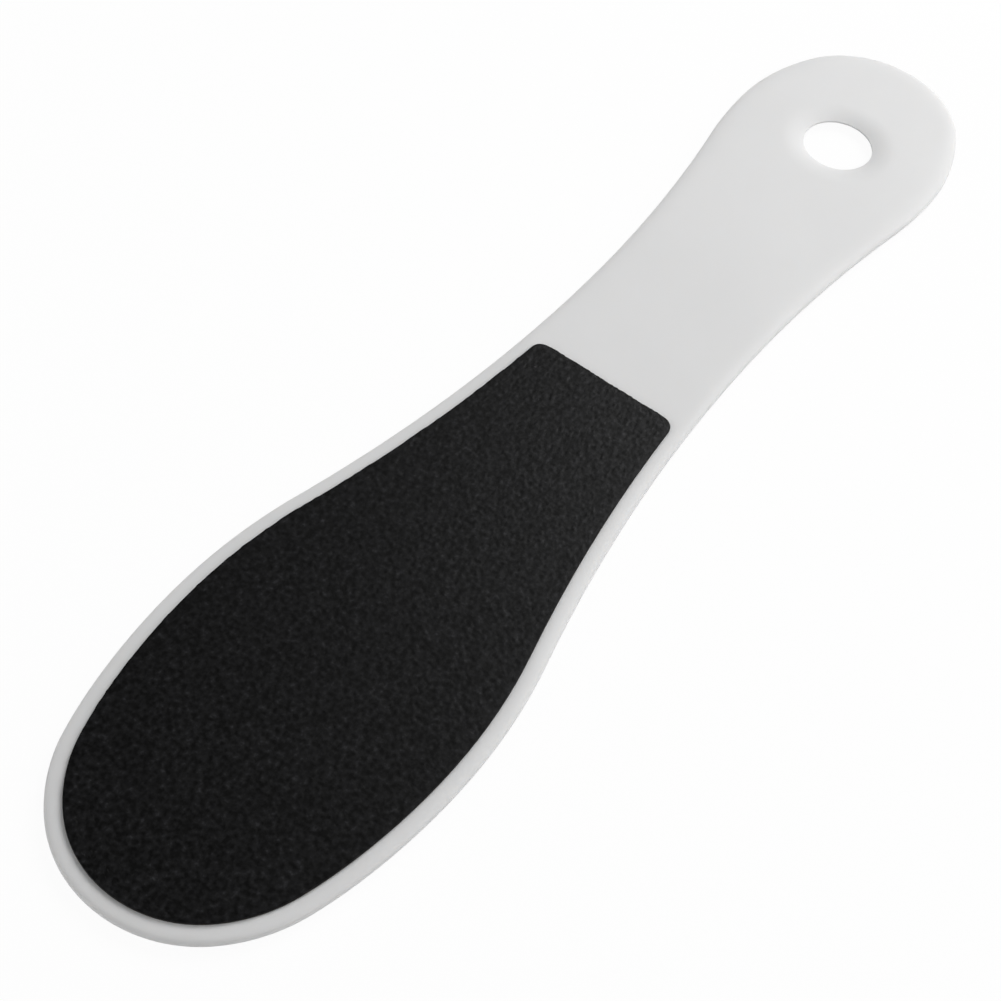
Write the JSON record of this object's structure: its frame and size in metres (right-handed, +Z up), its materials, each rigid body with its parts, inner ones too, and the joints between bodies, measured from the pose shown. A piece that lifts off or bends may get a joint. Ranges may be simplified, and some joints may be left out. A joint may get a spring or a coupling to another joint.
{
  "type": "foot file",
  "caption": "Flat paddle foot file with a broad rounded blade, black abrasive sheets glued to both faces, a waisted neck and a rounded handle with a hanging hole.",
  "frame": {"origin": "under the middle of the file's length and width, on the surface that the file lies on with its fine side down", "axes": "+X from the tip of the blade to the end of the handle, +Y across the blade, +Z up, out of the coarse face"},
  "size_m": [0.255, 0.06, 0.0033],
  "materials": {
    "white_plastic": "moulded white plastic with a satin gloss",
    "adhesive": "thin tacky film of dried adhesive",
    "backing_paper": "heavy latex-treated abrasive paper, dyed dark",
    "coarse_grit": "black silicon carbide grains in black resin, coarse",
    "fine_grit": "black silicon carbide grains in black resin, fine"
  },
  "bodies": {
    "root": {"paddle_body": "white_plastic", "coarse_adhesive_film": "adhesive", "coarse_backing_sheet": "backing_paper", "coarse_grit_coat": "coarse_grit", "fine_adhesive_film": "adhesive", "fine_backing_sheet": "backing_paper", "fine_grit_coat": "fine_grit"}
  },
  "joints": []
}
